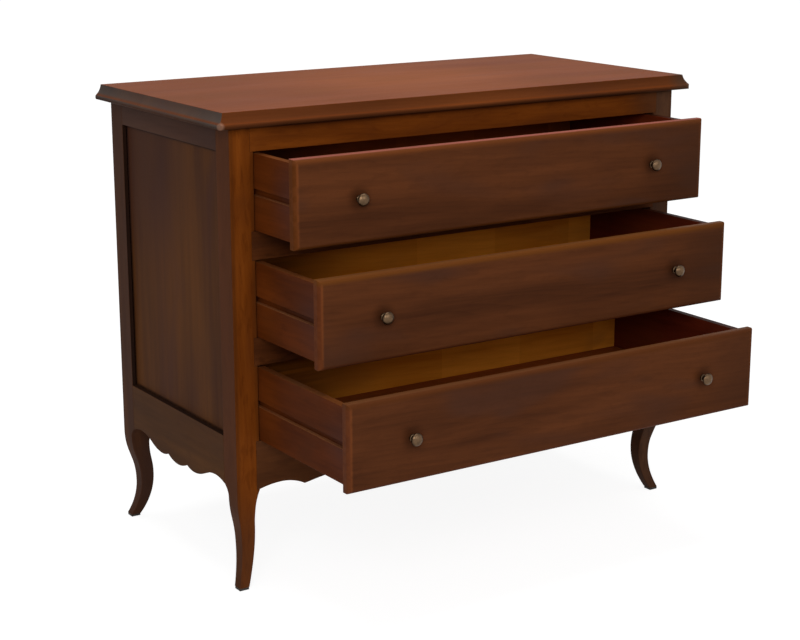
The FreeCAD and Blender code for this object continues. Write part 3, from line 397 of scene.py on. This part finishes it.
# The finish of each case piece and each drawer piece, by the start of its name. The first that fits
# counts, so rail_front_top comes before rail_front.
CASE_FINISH = {
    "top_board": "top", "post_front_left": "left_post", "post_front_right": "right_post",
    "post_back": "back_post", "rail_front_top": "top_rail", "rail_front": "front_rail",
    "apron_front": "apron", "rail_side": "side_rail", "apron_side": "side_apron", "rail_back": "back_rail",
    "muntin": "muntin", "runner_screws": "steel", "runner": "hidden", "top_button_screws": "steel",
    "top_buttons": "hidden", "foot_glides": "glide",
}
DRAWER_FINISH = {"bottom": "drawer_bottom", "knob_screws": "steel", "knob": "knob"}

# The rim of each drawer front, along its top, along its other edges, and the thin line where its top meets
# its back: partly wear and partly a painted highlight, which differs from drawer to drawer by how light
# falls.
RIM_WEAR_AND_HIGHLIGHT = {
    "top": ((104, 56, 26), (82, 42, 14), (146, 82, 71)),
    "middle": ((100, 56, 20), (84, 42, 22), (100, 60, 28)),
    "bottom": ((86, 46, 20), (84, 44, 26), (96, 58, 32)),
}
RIM_WIDTH = 0.008           # as far as the front's rounded edge reaches
TOP_RIM_WIDTH = 0.013
TOP_HIGHLIGHT_WIDTH = 0.0012
END_HIGHLIGHT_WIDTH = 0.0105     # a little more than the rim that covers it, so that a pale line, a painted highlight, is left
END_HIGHLIGHT = (136, 74, 36)
# The top drawer's back takes darker shades: painted shade for its place deep in the case.
BACK_SHADES = {"top": SHADED_HONEY, "middle": HONEY, "bottom": HONEY}


def front_wood(drawer):
    """A drawer front: a rim of wear and painted highlight, painted shade towards its right end, and round
    each knob a dark halo, partly grime and partly the knob's painted shadow.
    """
    lowest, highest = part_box(f"drawer_{drawer}_front")
    right_end = (highest.x, lowest.y, (lowest.z + highest.z) / 2)
    # Painted shade towards the right end.
    spots = [(right_end, 0.02, 0.16, 0.45, (58, 34, 22))]
    for side in ("left", "right"):
        low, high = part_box(f"drawer_{drawer}_knob_{side}")
        centre = ((low.x + high.x) / 2, lowest.y, (low.z + high.z) / 2)
        # Grime and the knob's painted shadow round it.
        spots.append((centre, 0.008, 0.030, 0.55, (48, 24, 12)))
    top_rim, other_rims, top_highlight = RIM_WEAR_AND_HIGHLIGHT[drawer]
    edgings = [
        (lowest, highest, "x", END_HIGHLIGHT_WIDTH, 0.8, END_HIGHLIGHT),
        (lowest, highest, "xz", RIM_WIDTH, 0.9, other_rims),
        below(highest.z, TOP_RIM_WIDTH, 0.9, top_rim),
        below(highest.z, TOP_HIGHLIGHT_WIDTH, 0.9, top_highlight),
    ]
    return wood("front_wood_" + drawer, "x", FRONT, (), edgings, spots, contrast=1.1, breadth=1.3, mottle=0.2,
                wear=0.4)


def back_wood(drawer):
    """A drawer back with painted shadow along its top and most of all in its upper left corner, where the
    drawer above shades it.
    """
    lowest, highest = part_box(f"drawer_{drawer}_back")
    top_shadow = below(highest.z, 0.02, 0.8, (50, 16, 6))
    upper_left_shadow = ((lowest.x, lowest.y, highest.z), 0.10, 0.36, 0.85, (44, 10, 4))
    return wood("back_wood_" + drawer, "x", BACK_SHADES[drawer], (), [top_shadow], [upper_left_shadow], stave=0.19)


def side_wood(drawer, side):
    """A drawer side: reddish inside, a pale lip under its groove, partly unstained wood and partly painted
    light, a painted highlight on the left side's upper edge and painted shade on the right side's, dull in
    front and warmer at the case.
    """
    lowest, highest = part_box(f"drawer_{drawer}_{side}")
    if side == "side_left":
        outer_x, inner_face, edge = lowest.x, RIGHTWARDS, LIT_BOX_EDGE
    else:
        outer_x, inner_face, edge = highest.x, LEFTWARDS, SHADED_BOX_EDGE
    middle_z = (lowest.z + highest.z) / 2
    facings = [(UPWARDS, GROOVE_LIP_RAW_AND_LIT), (UPWARDS, edge, highest.z - 0.02), (inner_face, BOX_INSIDE)]
    spots = [
        ((outer_x, lowest.y, middle_z), 0.0, 0.09, 0.5, (70, 44, 40)),
        ((outer_x, front_left_low.y, middle_z), 0.02, 0.10, 0.4, (118, 58, 20)),
    ]
    return wood(f"side_wood_{drawer}_{side}", "y", BOX, facings, (), spots, mottle=0.3)


PANEL_HIDDEN = 0.007        # how much of a panel's edge is in the groove of its frame
PANEL_SHADE_WIDTH = 0.007     # the painted shade beside the frame, with stain gathered against it


def panel_wood(name):
    """A panel of the side or the back, darker near the frame that holds it: painted shade, and stain gathered
    against the frame.
    """
    lowest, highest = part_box(name)
    hidden = Vector((PANEL_HIDDEN,) * 3)
    shown = (lowest + hidden, highest - hidden)
    if not name.startswith("panel_side"):
        shaded_rim = (*shown, "xz", PANEL_SHADE_WIDTH, 0.9, (44, 28, 18))
        return wood("wood_" + name, "z", PLAIN, inside_only, [shaded_rim], rough=0.6)
    shaded_rim = (*shown, "yz", PANEL_SHADE_WIDTH, 0.9, (34, 20, 14))
    inner_face = RIGHTWARDS if name.endswith("left") else LEFTWARDS
    centre = (lowest + highest) / 2
    # Painted shade in the upper back corner, under the rail.
    upper_back_shade = (centre.x, highest.y - 0.06, highest.z - 0.06)
    spots = [
        (centre, 0.04, 0.24, 0.40, (104, 62, 26)),
        (upper_back_shade, 0.05, 0.26, 0.50, (62, 38, 34)),
    ]
    return wood("wood_" + name, "z", SIDE, [(inner_face, DARK_INSIDE)], [shaded_rim], spots,
                sheen=0.015, breadth=1.6, mottle=0.15)


def finish_for(name):
    """The material of one CAD node, by its name."""
    if name.startswith("panel"):
        return panel_wood(name)
    finishes = CASE_FINISH
    rest = name
    if name.startswith("drawer_"):
        drawer, rest = name.split("_", 2)[1:]
        finishes = DRAWER_FINISH
        if rest == "front":
            return front_wood(drawer)
        if rest == "back":
            return back_wood(drawer)
        if rest.startswith("side"):
            return side_wood(drawer, rest)
    return materials[next(finishes[key] for key in finishes if rest.startswith(key))]


for name, piece in nodes.items():
    piece.data.materials.clear()
    piece.data.materials.append(finish_for(name))


# ---------------------------------------------------------------- soft edges

EDGE_WIDTH = 0.0008         # rounding of a board's edges
POST_EDGE_WIDTH = 0.0015


def soften(piece, width):
    """Joins the mesh's split corners and flat triangles, rounds its sharp edges and evens its shading."""
    weld = piece.modifiers.new("weld", "WELD")
    weld.merge_threshold = 0.00002
    flat = piece.modifiers.new("flat faces", "DECIMATE")
    flat.decimate_type = "DISSOLVE"
    flat.angle_limit = math.radians(0.6)
    if width:
        edge = piece.modifiers.new("rounded edges", "BEVEL")
        edge.width = width
        edge.segments = 3
        edge.limit_method = "ANGLE"
        edge.angle_limit = math.radians(40)
        edge.use_clamp_overlap = False
    shading = piece.modifiers.new("shading", "WEIGHTED_NORMAL")
    shading.weight = 80


for name, piece in nodes.items():
    if "knob_" in name and "screws" not in name:
        continue
    width = EDGE_WIDTH
    if name.startswith("post"):
        width = POST_EDGE_WIDTH
    if "screws" in name or "glides" in name:
        width = 0.0
    soften(piece, width)


# ---------------------------------------------------------------- floor, lamps and camera

ROOM = 0.25             # strength of the room's even light
BACKGROUND = 1.0        # what the camera and reflections see beyond the object
FLOOR_REACH = 60.0
FLOOR_LEVEL = -0.0004   # just under the feet
FLOOR_PAINT = 0.8       # how much light the floor throws back onto the object
SEEN_PAINT = 0.24       # the part of the floor's brightness that shadows can take away, where it is seen
SEEN_GLOW = 0.90        # the rest, near the object
FAR_GLOW = 0.98         # and where the lamps no longer reach


def seen_directly(tree):
    """1 for rays from the camera, off gloss or through glass, and 0 for rays that light other things."""
    path = tree.add("LightPath", {}).outputs
    direct = tree.math("MAXIMUM", path["Is Camera Ray"], path["Is Glossy Ray"])
    return tree.math("MAXIMUM", direct, path["Is Transmission Ray"])


def build_room():
    world = bpy.data.worlds.new("room")
    scene.world = world
    tree = Tree(world)
    strength = tree.fade(seen_directly(tree), 0.0, 1.0, ROOM, BACKGROUND)
    background = tree.add("Background", {"Color": (1, 1, 1, 1), "Strength": strength})
    tree.add("OutputWorld", {"Surface": background.outputs[0]})

    mesh = bpy.data.meshes.new("floor")
    signs = ((-1, -1), (1, -1), (1, 1), (-1, 1))
    corners = [(x * FLOOR_REACH, y * FLOOR_REACH, FLOOR_LEVEL) for x, y in signs]
    mesh.from_pydata(corners, [], [(0, 1, 2, 3)])
    floor = bpy.data.objects.new("floor", mesh)
    scene.collection.objects.link(floor)
    material = bpy.data.materials.new("floor")
    tree = Tree(material)
    seen = seen_directly(tree)
    shade = tree.fade(seen, 0.0, 1.0, FLOOR_PAINT, SEEN_PAINT)
    paint = tree.add("BsdfDiffuse", {"Color": tree.vector(shade, shade, shade)}).outputs[0]
    away = tree.add("VectorMath", {0: tree.place()}, operation="LENGTH").outputs["Value"]
    glow_strength = tree.math("MULTIPLY", seen, tree.fade(away, 0.9, 3.5, SEEN_GLOW, FAR_GLOW))
    glow = tree.add("Emission", {"Color": (1, 1, 1, 1), "Strength": glow_strength}).outputs[0]
    both = tree.add("AddShader", {0: paint, 1: glow}).outputs[0]
    tree.add("OutputMaterial", {"Surface": both})
    mesh.materials.append(material)


def soft_lamp(name, place, target, width, height, watts):
    """A rectangular soft box that shines from place towards target."""
    light = bpy.data.lights.new(name, "AREA")
    light.shape = "RECTANGLE"
    light.size = width
    light.size_y = height
    light.energy = watts
    lamp = bpy.data.objects.new(name, light)
    lamp.location = place
    lamp.rotation_euler = (Vector(target) - Vector(place)).to_track_quat("-Z", "Y").to_euler()
    lamp.visible_camera = False
    scene.collection.objects.link(lamp)


def aim_camera(eye, target, roll, lens):
    """A camera at eye that looks at target, turned by roll so that its right side rises."""
    back = (eye - target).normalized()
    right = Vector((0, 0, 1)).cross(back).normalized()
    up = back.cross(right)
    turned_right = math.cos(roll) * right + math.sin(roll) * up
    turned_up = math.cos(roll) * up - math.sin(roll) * right
    data = bpy.data.cameras.new("camera")
    data.sensor_width = 36.0
    data.lens = lens
    data.clip_end = 300.0
    camera = bpy.data.objects.new("camera", data)
    scene.collection.objects.link(camera)
    camera.matrix_world = Matrix([(*row, 0) for row in zip(turned_right, turned_up, back)] + [(0, 0, 0, 1)])
    camera.matrix_world.translation = eye
    scene.camera = camera


build_room()
middle = Vector((0.0, 0.0, 0.45))
soft_lamp("top lamp", (0.0, 0.2, 3.2), (0.0, 0.0, 0.0), 2.6, 2.0, 60)
soft_lamp("front left lamp", (-2.3, -2.7, 2.1), middle, 1.6, 1.6, 45)
soft_lamp("front lamp", (0.2, -3.3, 1.8), middle, 2.4, 1.6, 20)
aim_camera(Vector((-1.8988, -2.7317, 1.2706)), Vector((-0.1516, -0.0795, 0.4598)), roll=-0.0008, lens=79.499)

scene.view_settings.view_transform = "Standard"
